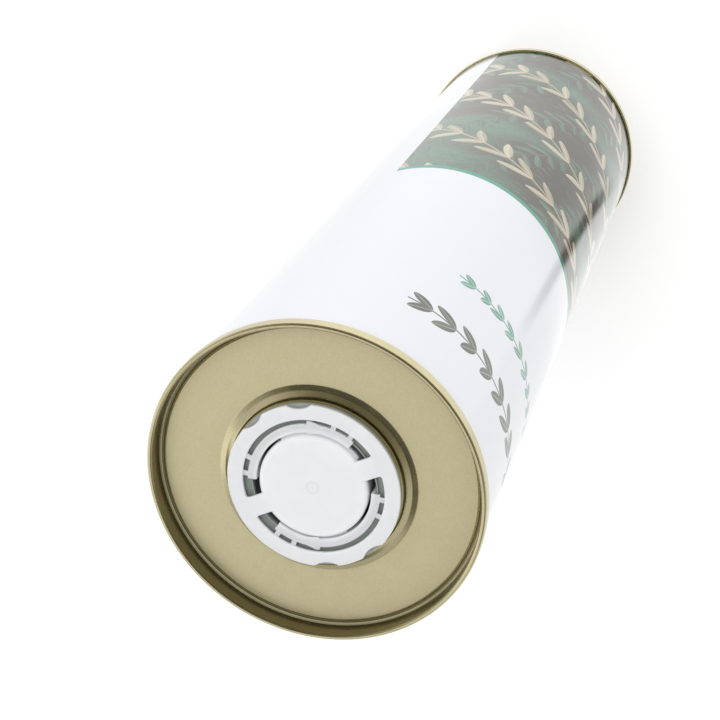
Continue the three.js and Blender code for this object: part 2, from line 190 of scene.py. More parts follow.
NOTCH_DEPTH = 1.0
NOTCH_TOOL = 5.2
NOTCH_ANGLE = 17.5
NOTCH_BLEND = 0.12
NOTCH_REACH = 0.5

# Tamper arcs in the cap's slots.
ARC_INNER = 12.6
ARC_OUTER = 14.5
ARC_HALF_ANGLE = 64.0
ARC_STEP = 2
ARC_PLATE = 0.45
ARC_EDGE = 0.09
ARC_LEG_RADIUS = 13.4
ARC_LEG_DEPTH = 3.4
ARC_LEG_SINK = 0.12
ARC_RIM_RADIUS = 14.06
ARC_RIM_INSET = 0.003
ARC_RIM_DEPTH = 0.7
ARC_RIM_SINK = 0.15
ARC_RIM_END = 0.6
TOOTH_ANGLE = -21.5
TOOTH_FLAT = 3.5
TOOTH_RAMP = 8.0
TOOTH_STEP = 0.2
OUTER_TOOTH = 0.7
INNER_TOOTH = 0.45
TAB_WIDTH = 1.1
TAB_SINK = 0.15
TAB_FILLET = 0.12
TAB_ANGLES = (-59.3, -44.0, 44.0, 59.3)
LINER_GAP = 0.05
LINER_THICKNESS = 0.9
SPOUT_REST_GAP = 0.05

# Bend radii of moulded edges.
CRISP_EDGE = 0.05
THIN_EDGE = 0.08
FINE_EDGE = 0.1
SMALL_EDGE = 0.15
MIDDLE_EDGE = 0.2
WIDE_EDGE = 0.25
SOFT_EDGE = 0.3

# How finely shapes are divided, which gaps are merged, and the angles over which edges show as sharp.
AROUND = 216
COLLAR_AROUND = 160
MOULDING_AROUND = 144
CAP_RIM_STEPS = 480
SLOT_STEPS = 70
LEDGE_STEPS = 48
LEG_STEPS = 64
TOOTH_SIDE_STEPS = (42, 15)
WELD_STEPS = 4
BEND_STEPS = 5
ROUND_STEPS = 9
PLATE_EDGE_STEPS = 3
MERGE_GAP = 0.004
PLATE_MERGE_GAP = 0.001
SLIVER = 0.002
ON_AXIS = 1e-6
SMOOTH_ANGLE = 40.0
WELD_SMOOTH_ANGLE = 30.0
SPOUT_SMOOTH_ANGLE = 35.0
CAP_SMOOTH_ANGLE = 45.0

# Gold lacquer. Its zones at the chuck wall's foot are in height over the panel and in from the wall.
LACQUER_TONES = ((0.515, 0.462, 0.275), (0.592, 0.538, 0.335))
LACQUER_METAL = 0.48
BURNISHED_METAL = 0.47
LACQUER_ROUGHNESS = 0.34
LACQUER_SPREAD = 0.08
BURNISHED_SHINE = 0.16
BURNISHED_TILT = (0.997, 0.975)
BURNISHED_NECK = (4.2, 3.8)
# The chuck wall is darkened by scuffs and specks, and by painted shade over the whole wall.
SCUFF_AND_SHADE_SHARE = 0.6
SCUFF_AND_SHADE_TONES = ((0.17, 0.145, 0.08), (0.4, 0.34, 0.19))
SPECK_TONE = (0.05, 0.045, 0.03)
SCUFF_AND_SHADE_RISE = (0.15, 0.6)
MATT_RISE = (0.45, 0.05)
MATT_INSET = (0.46, 0.34)
MATT_SHARE = 0.68
# Painted shade on the floor of each countersink; the same mask also darkens the stepped middle of the bottom
# end.
COUNTERSINK_SHADE_RISE = (-0.25, -0.45)
COUNTERSINK_SHADE_INSET = (0.36, 0.48)
COUNTERSINK_SHADE_SHARE = 0.7
COUNTERSINK_SHADE_TONE = (0.1, 0.085, 0.05)

# Moulded plastic, seals and foam. Scatter is its weight and its reach in metres.
WHITE_TONES = ((0.80, 0.82, 0.83), (0.825, 0.84, 0.845))
WHITE_ROUGHNESS = 0.4
WHITE_SCATTER = (0.9, 0.0028)
GREY_TONES = ((0.25, 0.27, 0.25), (0.3, 0.32, 0.3))
GREY_ROUGHNESS = 0.42
GREY_SCATTER = (0.1, 0.001)
# Painted shade: the collar is darker inside the ring, under the cap's slots.
GREY_PAINTED_SHADE = (0.235, 0.262, 0.245)
PAINTED_SHADE_REACH = (1.0, 0.4)
# Painted shade in the hollows of the gate's mark.
GATE_SHADE_TONE = (0.66, 0.65, 0.61)
GATE_RING = 1.3
GATE_SHADE_SHARE = 0.32
SCATTER_TINT = (1.0, 1.0, 0.95)
SEAL_TONES = ((0.2, 0.21, 0.19), (0.3, 0.31, 0.29))
FOAM_TONES = ((0.72, 0.72, 0.7), (0.8, 0.8, 0.78))

# Print: places along the wall in millimetres of run from its front, and heights.
PRINT_AZIMUTH = -132.5
PANEL_HALF = 57.0
PANEL_TOP = 146.0
LINE_WIDTH = 2.4
PRINT_BLUR = 0.06
LINE_TONE = (0.028, 0.33, 0.22)
WHITE_INKS = ((0.865, 0.875, 0.91), (0.88, 0.89, 0.925))
MURK_TONES = ((0.035, 0.031, 0.018), (0.1, 0.093, 0.06))
GLOW_TONE = (0.11, 0.24, 0.16)
GRASS_TONE = (0.3, 0.29, 0.2)
PIT_TONE = (0.015, 0.013, 0.008)

# Leaves: least value and spread of the angle and of the share of full length, blurred edge and rib.
LEAF_ANGLES = (0.52, 0.35)
LEAF_LENGTHS = (0.75, 0.3)
LEAF_BLUR = 0.12
RIB_EDGES = (0.28, 0.1)

# Tones are two for the leaves, one for their shaded half and one for the rib. A leaf is its length and
# half width, a stem its half width and tone.
GREENS = ((0.06, 0.13, 0.085), (0.13, 0.22, 0.14), (0.04, 0.09, 0.06), (0.17, 0.26, 0.17))
CREAMS = ((0.42, 0.37, 0.25), (0.68, 0.6, 0.44), (0.28, 0.24, 0.15), (0.8, 0.73, 0.58))
# Layers of twigs: cosine and sine of the lean, length and depth of the wave, row spacing, pitch, leaf,
# tones, stem and seed.
TWIG_LAYERS = (
    ((0.5, 0.866), (13.0, 2.6), 23.0, 7.0, (9.0, 1.3), GREENS, (0.35, (0.12, 0.1, 0.06)), 3.0),
    ((0.906, -0.423), (17.0, 4.0), 34.0, 9.5, (12.0, 1.6), CREAMS, (0.6, (0.48, 0.39, 0.27)), 8.0),
)

# Garlands: height, pairs of leaves, pitch, leaf and tones.
GARLAND_SPACING = 14.0
GARLAND_STEM = 0.35
GREY_INKS = ((0.12, 0.125, 0.1), (0.17, 0.18, 0.15), (0.1, 0.1, 0.08), (0.45, 0.45, 0.42))
GREEN_INKS = ((0.1, 0.33, 0.24), (0.2, 0.45, 0.35), (0.07, 0.25, 0.18), (0.6, 0.75, 0.68))
GARLANDS = (
    (232.0, 10, 6.5, (7.5, 1.5), GREY_INKS),
    (208.0, 10, 5.0, (5.0, 1.1), GREEN_INKS),
)

# The bare strip beside the weld and the gloss of the printed sheet.
BARE_HALF = 2.1
BARE_TONES = ((0.6, 0.6, 0.58), (0.25, 0.25, 0.26))
PRINT_ROUGHNESS = 0.1
BARE_ROUGHNESS = 0.12

# Floor. Azimuths are in degrees from the dark gap; the distances are from the tin's axis.
FLOOR_SIZE = 6.0
FLOOR_TONE = (0.8, 0.8, 0.8)
FLOOR_ROUGHNESS = 0.9
FLOOR_GLOSS = 0.1
FLOOR_GLOW = 0.3
FLOOR_BRIGHT = 1.35
FLOOR_DIM = 0.85
FLOOR_FAR_DIM = 1.25
FLOOR_SIDE = 1.05
FLOOR_PAST = 1.35
FLOOR_FAR_PAST = 1.05
FLOOR_NEAR = 1.15
FLOOR_NEAR_REACH = (42.0, 60.0)
FLOOR_FAR_REACH = (75.0, 105.0)
BRIGHT_TURN = (20.0, 90.0)
SIDE_TURN = (110.0, 170.0)
PAST_TURN = (-30.0, -90.0)
PAST_EDGE = (-2.0, -8.0)
GAP_AZIMUTH = -160.0
GAP_EDGE = (2.0, 7.0)
GAP_REACH = (100.0, 124.0)
GAP_LEVEL = 0.16
GAP_FAR_LEVEL = 0.85

# World and dome. The dome's limits are parts of its radius; dim spots are a direction, the cosine where
# each begins and where it is full, and its share of light.
WORLD_LIGHT = 0.86
DOME_RADIUS = 2.9
DOME_FACES = (48, 24)
HORIZON_LEVEL = 1.65
SURROUND_LEVEL = 0.75
SURROUND_TOP = 0.45
CEILING_HEIGHTS = (0.94, 0.72)
CEILING_SIDES = (-0.45, 0.15)
CEILING_TINT = (1.0, 0.92, 0.62)
TINTED_LEVELS = (0.1, 0.7)
CEILING_LEVEL = 0.05
FRONT_LEVEL = 0.24
FRONT_HEIGHTS = (0.75, 0.97)
DIM_SPOTS = (
    ((-0.15, 0.87, 0.47), 0.86, 0.95, 0.8),
    ((-0.46, 0.2, 0.865), 0.94, 0.985, 0.2),
)
WINDOW_AZIMUTH = -47.7
WINDOW_HEIGHT = 28.3
WINDOW_LEVEL = 1.4
WINDOW_INNER = (-0.06, 0.05)
WINDOW_OUTER = (0.38, 0.24)
WINDOW_SIDE = (0.1, 0.35)

LAMP_PLACE = (0.35, -0.45, 1.3)
LAMP_TARGET = (0.0, 0.0, 0.15)
LAMP_SIZE = 0.9
LAMP_POWER = 5.0

HALF_SHEET = SHEET / 2
LAYER = SHEET + LAYER_GAP
BODY_MID = BODY_RADIUS - HALF_SHEET
CHUCK_MID = BODY_MID - LAYER
END_HOOK_MID = BODY_MID + LAYER
BODY_HOOK_MID = END_HOOK_MID + LAYER
END_WALL_MID = BODY_HOOK_MID + LAYER
CREST_BEND = FOLD_BEND + LAYER
BODY_FOLD_TOP = TIN_HEIGHT - HALF_SHEET - LAYER
BODY_HOOK_TIP = TIN_HEIGHT - SEAM_HEIGHT + SHEET + LAYER + COMPOUND_HEIGHT + LAYER_GAP
CURL_TOP = TIN_HEIGHT - NECK_DROP
FLANGE_BOTTOM = CURL_TOP + COLLAR_GAP
FLANGE_TOP = FLANGE_BOTTOM + FLANGE_THICKNESS
CAP_BOTTOM = FLANGE_TOP + CAP_GAP
CAP_TOP = CAP_BOTTOM + CAP_PLATE
SPOUT_TOP = CAP_TOP - CAP_MIDDLE_THICKNESS - 2 * LINER_GAP - LINER_THICKNESS
SPOUT_BOTTOM = SPOUT_TOP - SPOUT_LENGTH
FOOT_TOP = SPOUT_BOTTOM - SPOUT_REST_GAP


def bend_points(before, corner, after, radius, steps):
    """The round bend that takes the place of one corner of a path."""
    before, corner, after = Vector(before), Vector(corner), Vector(after)
    back = (before - corner).normalized()
    ahead = (after - corner).normalized()
    half = math.acos(max(-1.0, min(1.0, back.dot(ahead)))) / 2
    room = min((before - corner).length, (after - corner).length) / 2
    reach = min(radius / math.tan(half), room)
    bend = reach * math.tan(half)
    centre = corner + (back + ahead).normalized() * (bend / math.sin(half))
    start = corner + back * reach - centre
    turn = math.copysign(math.pi - 2 * half, ahead.x * back.y - ahead.y * back.x)
    points = []
    for i in range(steps + 1):
        a = turn * i / steps
        c, s = math.cos(a), math.sin(a)
        points.append((centre.x + start.x * c - start.y * s, centre.y + start.x * s + start.y * c))
    return points


def bent_path(first, corners, last):
    """A path with rounded corners: corners holds (point, bend radius, steps of the bend)."""
    marks = [first] + [c[0] for c in corners] + [last]
    path = [first]
    for i, corner in enumerate(corners):
        point, radius = corner[0], corner[1]
        steps = corner[2] if len(corner) > 2 else BEND_STEPS
        path += bend_points(marks[i], point, marks[i + 2], radius, steps) if radius > 0 else [point]
    path.append(last)
    kept = [path[0]]
    for p in path[1:]:
        if math.dist(p, kept[-1]) > SLIVER:
            kept.append(p)
    return kept


def sheet_outline(path):
    """The closed outline of a sheet of even thickness round a path through its middle."""
    one, other = [], []
    for i, point in enumerate(path):
        p = Vector(point)
        into = (p - Vector(path[max(i - 1, 0)])).normalized()
        out = (Vector(path[min(i + 1, len(path) - 1)]) - p).normalized()
        along = (into + out).normalized()
        stretch = 1 / max(along.dot(into), along.dot(out))
        side = Vector((-along.y, along.x)) * (HALF_SHEET * stretch)
        one.append(tuple(p + side))
        other.append(tuple(p - side))
    return one + other[::-1]


def rounded(corners):
    """A closed outline whose corners (x, y, radius) are rounded."""
    outline = []
    for i, (x, y, radius) in enumerate(corners):
        if radius > 0:
            before, after = corners[i - 1][:2], corners[(i + 1) % len(corners)][:2]
            outline += bend_points(before, (x, y), after, radius, BEND_STEPS)
        else:
            outline.append((x, y))
    return outline


def add_object(name, data):
    made = bpy.data.objects.new(name, data)
    scene.collection.objects.link(made)
    return made


def make_object(name, verts, faces):
    """A mesh object in metres, with outward normals, smooth over bends and sharp at corners."""
    mesh = bpy.data.meshes.new(name)
    mesh.from_pydata([tuple(c * MM for c in v) for v in verts], [], faces)
    work = bmesh.new()
    work.from_mesh(mesh)
    bmesh.ops.recalc_face_normals(work, faces=work.faces)
    work.to_mesh(mesh)
    work.free()
    finish_mesh(mesh, SMOOTH_ANGLE)
    return add_object(name, mesh)


def finish_mesh(mesh, smooth_angle):
    mesh.polygons.foreach_set("use_smooth", [True] * len(mesh.polygons))
    mesh.set_sharp_from_angle(angle=math.radians(smooth_angle))
    mesh.update()


def lathe_data(outline, steps=AROUND, start=0.0, sweep=360.0):
    """Vertices and faces of a closed section (radius, height) turned round the axis."""
    verts, faces, rings = [], [], []
    full = sweep >= 360.0
    columns = steps if full else steps + 1
    for radius, height in outline:
        if radius < ON_AXIS:
            rings.append([len(verts)] * columns)
            verts.append((0.0, 0.0, height))
            continue
        rings.append(list(range(len(verts), len(verts) + columns)))
        verts += [(*polar(radius, start + sweep * k / steps), height) for k in range(columns)]
    for one, two in zip(rings, rings[1:] + rings[:1]):
        if one[0] == one[-1] and two[0] == two[-1]:
            continue
        for k in range(steps):
            n = (k + 1) % columns
            faces.append(list(dict.fromkeys((one[k], one[n], two[n], two[k]))))
    if not full:
        faces.append([ring[0] for ring in rings])
        faces.append([ring[-1] for ring in reversed(rings)])
    return verts, faces


def join_shells(name, shells, smooth_angle):
    """One closed mesh from overlapping closed shells."""
    base = shells[0]
    for other in shells[1:]:
        join = base.modifiers.new("join", "BOOLEAN")
        join.operation = "UNION"
        join.solver = "EXACT"
        join.object = other
    bpy.context.view_layer.update()
    shape = base.evaluated_get(bpy.context.evaluated_depsgraph_get())
    mesh = bpy.data.meshes.new_from_object(shape)
    for shell in shells:
        bpy.data.objects.remove(shell)
    work = bmesh.new()
    work.from_mesh(mesh)
    bmesh.ops.remove_doubles(work, verts=work.verts, dist=MERGE_GAP * MM)
    bmesh.ops.dissolve_degenerate(work, edges=work.edges, dist=SLIVER * MM)
    work.to_mesh(mesh)
    work.free()
    finish_mesh(mesh, smooth_angle)
    mesh.name = name
    return add_object(name, mesh)


def plate(name, outlines, bottom, top, edge):
    """A plate of a plan with holes, its rims rounded."""
    curve = bpy.data.curves.new(name, "CURVE")
    curve.dimensions = "2D"
    curve.fill_mode = "BOTH"
    for outline in outlines:
        spline = curve.splines.new("POLY")
        spline.points.add(len(outline) - 1)
        for point, (x, y) in zip(spline.points, outline):
            point.co = (x * MM, y * MM, 0.0, 1.0)
        spline.use_cyclic_u = True
    curve.bevel_depth = edge * MM
    curve.bevel_resolution = PLATE_EDGE_STEPS
    curve.offset = -edge * MM
    curve.extrude = ((top - bottom) / 2 - edge) * MM
    shape = add_object(name, curve)
    bpy.context.view_layer.update()
    solid = shape.evaluated_get(bpy.context.evaluated_depsgraph_get())
    mesh = bpy.data.meshes.new_from_object(solid)
    bpy.data.objects.remove(shape)
    mesh.transform(Matrix.Translation((0.0, 0.0, (top + bottom) / 2 * MM)))
    work = bmesh.new()
    work.from_mesh(mesh)
    bmesh.ops.remove_doubles(work, verts=work.verts, dist=PLATE_MERGE_GAP * MM)
    bmesh.ops.recalc_face_normals(work, faces=work.faces)
    work.to_mesh(mesh)
    work.free()
    return add_object(name, mesh)


def polar(radius, degrees):
    a = math.radians(degrees)
    return (radius * math.cos(a), radius * math.sin(a))


def arc_run(radius, first, last, steps):
    """Corners (x, y, 0) along an arc."""
    return [(*polar(radius, first + (last - first) * i / steps), 0.0) for i in range(steps + 1)]


def end_rim():
    """The path both ends share: over the body's flange, down the chuck wall, through the countersink."""
    crest = TIN_HEIGHT - HALF_SHEET
    foot = TIN_HEIGHT - SEAM_HEIGHT + HALF_SHEET
    sunk = TIN_HEIGHT - COUNTERSINK_DEPTH + HALF_SHEET
    outer = CHUCK_MID - CHUCK_RUN_IN
    inner = outer - COUNTERSINK_WIDTH
    panel = TIN_HEIGHT - PANEL_DEPTH - HALF_SHEET
    corners = [
        ((END_HOOK_MID, foot), FINE_EDGE),
        ((END_WALL_MID, foot), LAYER),
        ((END_WALL_MID, crest), CREST_BEND, ROUND_STEPS),
        ((CHUCK_MID, crest), CREST_BEND, ROUND_STEPS),
        ((outer, sunk), COUNTERSINK_BEND),
        ((inner, sunk), COUNTERSINK_BEND),
        ((inner - PANEL_EDGE_RUN, panel), PANEL_EDGE_BEND),
    ]
    return (END_HOOK_MID, TIN_HEIGHT - SEAM_HEIGHT + END_HOOK), corners, panel


def tin_body():
    folds = [((r, BODY_FOLD_TOP), FOLD_BEND, ROUND_STEPS) for r in (BODY_MID, BODY_HOOK_MID)]
    low = [((p[0], TIN_HEIGHT - p[1]), bend, steps) for p, bend, steps in folds][::-1]
    first, last = (BODY_HOOK_MID, TIN_HEIGHT - BODY_HOOK_TIP), (BODY_HOOK_MID, BODY_HOOK_TIP)
    wall = make_object("tin_sheet", *lathe_data(sheet_outline(bent_path(first, low + folds, last))))
    margin = SEAM_HEIGHT + WELD_END_GAP
    lap_half = math.degrees(WELD_WIDTH / 2 / BODY_RADIUS)
    inner, outer = BODY_RADIUS - SHEET - WELD_PROUD / 2, BODY_RADIUS + WELD_PROUD
    lap = rounded([
        (inner, margin, 0.0),
        (outer, margin, WELD_PROUD / 2),
        (outer, TIN_HEIGHT - margin, WELD_PROUD / 2),
        (inner, TIN_HEIGHT - margin, 0.0),
    ])
    weld = make_object("weld", *lathe_data(lap, WELD_STEPS, WELD_AZIMUTH - lap_half, 2 * lap_half))
    return join_shells("tin_wall", [wall, weld], WELD_SMOOTH_ANGLE)


def top_end():
    first, corners, panel = end_rim()
    neck = NECK_RADIUS + HALF_SHEET
    curl = neck + CURL - SHEET
    curl_top = CURL_TOP - HALF_SHEET
    curl_foot = CURL_TOP - CURL + HALF_SHEET
    curl_bend = (curl - neck) / 2
    shoulder = NECK_RADIUS + CURL + SHOULDER_GAP
    groove = panel + GROOVE_RISE
    corners = corners + [
        ((shoulder + SHOULDER_FOOT_RUN, panel), SHOULDER_FOOT_BEND),
        ((shoulder + SHOULDER_STEP_RUN, panel + SHOULDER_STEP_RISE), SHOULDER_STEP_BEND),
        ((shoulder, panel + SHOULDER_RISE), SHOULDER_BEND),
        ((neck + GROOVE_WIDTH, groove), GROOVE_BEND),
        ((neck, groove), GROOVE_BEND),
        ((neck, curl_top), curl_bend, ROUND_STEPS),
        ((curl, curl_top), curl_bend, ROUND_STEPS),
        ((curl, curl_foot), curl_bend, ROUND_STEPS),
    ]
    path = bent_path(first, corners, (neck + curl_bend - CURL_TUCK, curl_foot))
    return make_object("end_with_neck", *lathe_data(sheet_outline(path)))


def bottom_end():
    first, corners, panel = end_rim()
    step = panel - STEP_RISE
    corners = corners + [
        ((STEP_RADIUS, panel), STEP_BEND),
        ((STEP_RADIUS - STEP_RUN, step), STEP_BEND),
    ]
    outline = sheet_outline(bent_path(first, corners, (0.0, step)))
    upside_down = [(r, TIN_HEIGHT - z) for r, z in outline]
    return make_object("end_with_step", *lathe_data(upside_down))


def collar():
    bead_top = TIN_HEIGHT - PANEL_DEPTH + GROOVE_RISE - SHEET - PLUG_BEAD_GAP
    bead_bottom = bead_top - PLUG_BEAD_HEIGHT
    plug_bottom = bead_bottom - PLUG_TIP_HEIGHT
    gasket_top = FLANGE_BOTTOM - GASKET_DROP + SEAT_GAP
    gasket_foot = gasket_top - GASKET_HEIGHT - 2 * SEAT_GAP
    sleeve_bottom = FOOT_TOP - SLEEVE_FOOT_HEIGHT
    lip_bottom = FLANGE_TOP - SLEEVE_LIP_HEIGHT
    section = rounded([
        (SLEEVE_FOOT_RADIUS, sleeve_bottom, SMALL_EDGE),
        (SLEEVE_RADIUS, sleeve_bottom, SMALL_EDGE),
        (SLEEVE_RADIUS, FLANGE_TOP - WEB_THICKNESS, SOFT_EDGE),
        (PLUG_INNER_RADIUS, FLANGE_TOP - WEB_THICKNESS, SOFT_EDGE),
        (PLUG_INNER_RADIUS, plug_bottom, SMALL_EDGE),
        (PLUG_RADIUS - PLUG_TIP_RUN, plug_bottom, FINE_EDGE),
        (PLUG_RADIUS + PLUG_BEAD_PROUD, bead_bottom, FINE_EDGE),
        (PLUG_RADIUS + PLUG_BEAD_PROUD, bead_top, FINE_EDGE),
        (PLUG_RADIUS, bead_top, CRISP_EDGE),
        (PLUG_RADIUS, gasket_foot, 0.0),
        (GASKET_SEAT_RADIUS, gasket_foot, 0.0),
        (GASKET_SEAT_RADIUS, gasket_top, 0.0),
        (PLUG_RADIUS, gasket_top, 0.0),
        (PLUG_RADIUS, FLANGE_BOTTOM, CRISP_EDGE),
        (FLANGE_RADIUS, FLANGE_BOTTOM, FINE_EDGE),
        (FLANGE_RADIUS, FLANGE_TOP, FLANGE_EDGE),
        (TROUGH_OUTER, FLANGE_TOP, FINE_EDGE),
        (TROUGH_OUTER, FLANGE_TOP - TROUGH_DEPTH, FINE_EDGE),
        (TROUGH_INNER, FLANGE_TOP - TROUGH_DEPTH, FINE_EDGE),
        (TROUGH_INNER, FLANGE_TOP, THIN_EDGE),
        (SLEEVE_LIP_RADIUS, FLANGE_TOP, THIN_EDGE),
        (SLEEVE_LIP_RADIUS, lip_bottom, FINE_EDGE),
        (SLEEVE_BORE, lip_bottom, 0.0),
        (SLEEVE_BORE, FOOT_TOP, 0.0),
        (SLEEVE_FOOT_RADIUS, FOOT_TOP, FINE_EDGE),
    ])
    return make_object("collar", *lathe_data(section, COLLAR_AROUND))


def thread():
    """The spout's screw thread, tapered at both ends."""
    steps = int(THREAD_TURNS * THREAD_TURN_STEPS)
    first = SPOUT_TOP - THREAD_DROP - THREAD_PITCH * THREAD_TURNS
    verts, faces = [], []
    for i in range(steps + 1):
        share = i / steps
        taper = min(1.0, min(share, 1 - share) * steps / THREAD_TAPER_STEPS)
        crest = SPOUT_RADIUS + (THREAD_RADIUS - SPOUT_RADIUS) * math.sin(taper * math.pi / 2)
        a = 2 * math.pi * THREAD_TURNS * share
        z = first + THREAD_PITCH * THREAD_TURNS * share
        flank = list(zip((SPOUT_RADIUS - THREAD_SINK, SPOUT_RADIUS, crest), THREAD_HALF_WIDTHS))
        section = [(r, z - half) for r, half in flank] + [(r, z + half) for r, half in reversed(flank)]
        verts += [(r * math.cos(a), r * math.sin(a), height) for r, height in section]
    corners = 2 * len(THREAD_HALF_WIDTHS)
    for i in range(steps):
        one, two = corners * i, corners * (i + 1)
        for k in range(corners):
            n = (k + 1) % corners
            faces.append((one + k, one + n, two + n, two + k))
    faces.append(tuple(range(corners)))
    faces.append(tuple(corners * steps + k for k in reversed(range(corners))))
    return make_object("thread", verts, faces)


def spout():
    lip_foot = SPOUT_TOP - SPOUT_LIP_HEIGHT
    seat_bottom = SPOUT_BOTTOM + (PISTON_HEIGHT - WIPER_HEIGHT) / 2 - SEAT_GAP
    seat_top = seat_bottom + WIPER_HEIGHT + 2 * SEAT_GAP
    piston_top = SPOUT_BOTTOM + PISTON_HEIGHT
    section = rounded([
        (SPOUT_BORE, SPOUT_BOTTOM, SPOUT_FOOT_BEND),
        (PISTON_RADIUS, SPOUT_BOTTOM, SMALL_EDGE),
        (PISTON_RADIUS, seat_bottom, CRISP_EDGE),
        (WIPER_SEAT_RADIUS, seat_bottom, 0.0),
        (WIPER_SEAT_RADIUS, seat_top, 0.0),
        (PISTON_RADIUS, seat_top, CRISP_EDGE),
        (PISTON_RADIUS, piston_top, SMALL_EDGE),
        (SPOUT_RADIUS, piston_top, PISTON_FILLET),
        (SPOUT_RADIUS, lip_foot - SPOUT_LIP_FLARE, SOFT_EDGE),
        (SPOUT_LIP_RADIUS, lip_foot, MIDDLE_EDGE),
        (SPOUT_LIP_RADIUS, SPOUT_TOP, SPOUT_LIP_BEND),
        (SPOUT_BORE, SPOUT_TOP, SPOUT_LIP_BEND),
    ])
    tube = make_object("tube", *lathe_data(section, MOULDING_AROUND))
    return join_shells("pouring_tube", [tube, thread()], SPOUT_SMOOTH_ANGLE)


def cap_outline():
    """The cap's rim with its four finger notches, in the cap's own frame."""
    centre = CAP_RADIUS - NOTCH_DEPTH + NOTCH_TOOL
    outline = []
    for i in range(CAP_RIM_STEPS):
        degrees = 360 * i / CAP_RIM_STEPS
        radius = CAP_RADIUS
        for notch in (-NOTCH_ANGLE, NOTCH_ANGLE, 180 - NOTCH_ANGLE, 180 + NOTCH_ANGLE):
            a = math.radians((degrees - notch + 180) % 360 - 180)
            inside = NOTCH_TOOL ** 2 - (centre * math.sin(a)) ** 2
            if abs(a) < NOTCH_REACH and inside > 0:
                near = centre * math.cos(a) - math.sqrt(inside)
                gap = max(0.0, 1 - abs(near - radius) / NOTCH_BLEND)
                radius = min(radius, near) - gap * gap * NOTCH_BLEND / 4
        outline.append(polar(radius, degrees))
    return outline


def slot_outline(side):
    """One slot between ring and middle; the bridges run along the cap frame's y."""
    inner = CAP_MIDDLE_RADIUS - CAP_MIDDLE_BEND + SLOT_OVERLAP
    half = BRIDGE_WIDTH / 2
    low = math.degrees(math.acos(half / inner))
    high = math.degrees(math.acos((half + SLOT_CORNER_OUT) / SLOT_RADIUS))
    last = high - SLOT_CORNER_TURN
    corners = [(*polar(inner, -low), 0.0)]
    corners += [(half, -SLOT_RADIUS + SLOT_CORNER_RUN, 0.0)]
    corners += [(*polar(SLOT_RADIUS, -high), BRIDGE_FILLET)]
    corners += arc_run(SLOT_RADIUS, -last, last, SLOT_STEPS)
    corners += [(*polar(SLOT_RADIUS, high), BRIDGE_FILLET)]
    corners += [(half, SLOT_RADIUS - SLOT_CORNER_RUN, 0.0)]
    corners += arc_run(inner, low, -low, SLOT_STEPS)[:-1]
    return [(side * x, side * y) for x, y in rounded(corners)]


def tamper_rim():
    """The outer rim of a tamper arc: corners (angle, radius, bend) of its tabs and its tooth, in order."""
    tab_half = math.degrees(TAB_WIDTH / 2 / ARC_OUTER)
    tab_end, tooth_top = SLOT_RADIUS + TAB_SINK, ARC_OUTER + OUTER_TOOTH
    flat = TOOTH_ANGLE - TOOTH_FLAT
    marks = []
    for tab in TAB_ANGLES:
        marks += [(tab - tab_half, ARC_OUTER, TAB_FILLET), (tab - tab_half, tab_end, 0.0)]
        marks += [(tab + tab_half, tab_end, 0.0), (tab + tab_half, ARC_OUTER, TAB_FILLET)]
    marks += [(flat - TOOTH_RAMP, ARC_OUTER, 0.0), (flat, tooth_top, FINE_EDGE)]
    marks += [(TOOTH_ANGLE, tooth_top, FINE_EDGE), (TOOTH_ANGLE + TOOTH_STEP, ARC_OUTER, FINE_EDGE)]
    return sorted(marks, key=lambda mark: mark[0])


def tamper_outline(turn):
    """A tamper arc's plan, with a tooth on each side and four tabs out to the ring."""
    flat = TOOTH_ANGLE - TOOTH_FLAT
    tooth_foot = ARC_INNER - INNER_TOOTH
    corners = [(*polar(ARC_OUTER, -ARC_HALF_ANGLE), WIDE_EDGE)]
    reached, last_radius = -ARC_HALF_ANGLE, ARC_OUTER
    for degrees, radius, bend in tamper_rim():
        if radius == last_radius == ARC_OUTER and degrees - reached > 2 * ARC_STEP:
            steps = int((degrees - reached) / ARC_STEP)
            corners += arc_run(ARC_OUTER, reached, degrees, steps)[1:-1]
        corners.append((*polar(radius, degrees), bend))
        reached, last_radius = degrees, radius
    corners += arc_run(ARC_OUTER, reached, ARC_HALF_ANGLE, 2)[1:-1]
    corners.append((*polar(ARC_OUTER, ARC_HALF_ANGLE), WIDE_EDGE))
    corners.append((*polar(ARC_INNER, ARC_HALF_ANGLE), WIDE_EDGE))
    before, after = TOOTH_SIDE_STEPS
    corners += arc_run(ARC_INNER, ARC_HALF_ANGLE - ARC_STEP, TOOTH_ANGLE + ARC_STEP, before)
    corners.append((*polar(ARC_INNER, TOOTH_ANGLE + TOOTH_STEP), FINE_EDGE))
    corners.append((*polar(tooth_foot, TOOTH_ANGLE), FINE_EDGE))
    corners.append((*polar(tooth_foot, flat), FINE_EDGE))
    corners += arc_run(ARC_INNER, flat - TOOTH_RAMP, ARC_STEP - ARC_HALF_ANGLE, after)
    corners.append((*polar(ARC_INNER, -ARC_HALF_ANGLE), WIDE_EDGE))
    c, s = math.cos(math.radians(turn)), math.sin(math.radians(turn))
    return [(c * x - s * y, s * x + c * y) for x, y in rounded(corners)]


def cap_cup():
    """The cap's middle: a cup upside down, with the gate's mark on top."""
    top = CAP_TOP - CUP_SINK
    ceiling = CAP_TOP - CAP_MIDDLE_THICKNESS
    skirt_bottom = CAP_TOP - CAP_SKIRT_LENGTH
    shoulder = bend_points(
        (CAP_MIDDLE_RADIUS, skirt_bottom),
        (CAP_MIDDLE_RADIUS, top),
        (CAP_MIDDLE_RADIUS - 2 * CAP_MIDDLE_BEND, top),
        CAP_MIDDLE_BEND,
        ROUND_STEPS,
    )
    foot = rounded([
        (0.0, ceiling, 0.0),
        (CAP_SKIRT_RADIUS, ceiling, WIDE_EDGE),
        (CAP_SKIRT_RADIUS, skirt_bottom, MIDDLE_EDGE),
        (CAP_MIDDLE_RADIUS, skirt_bottom, MIDDLE_EDGE),
    ])[:-1]
    mark = [(radius, top - depth) for radius, depth in GATE_MARK]
    return make_object("cap_cup", *lathe_data(foot + shoulder + mark, MOULDING_AROUND))


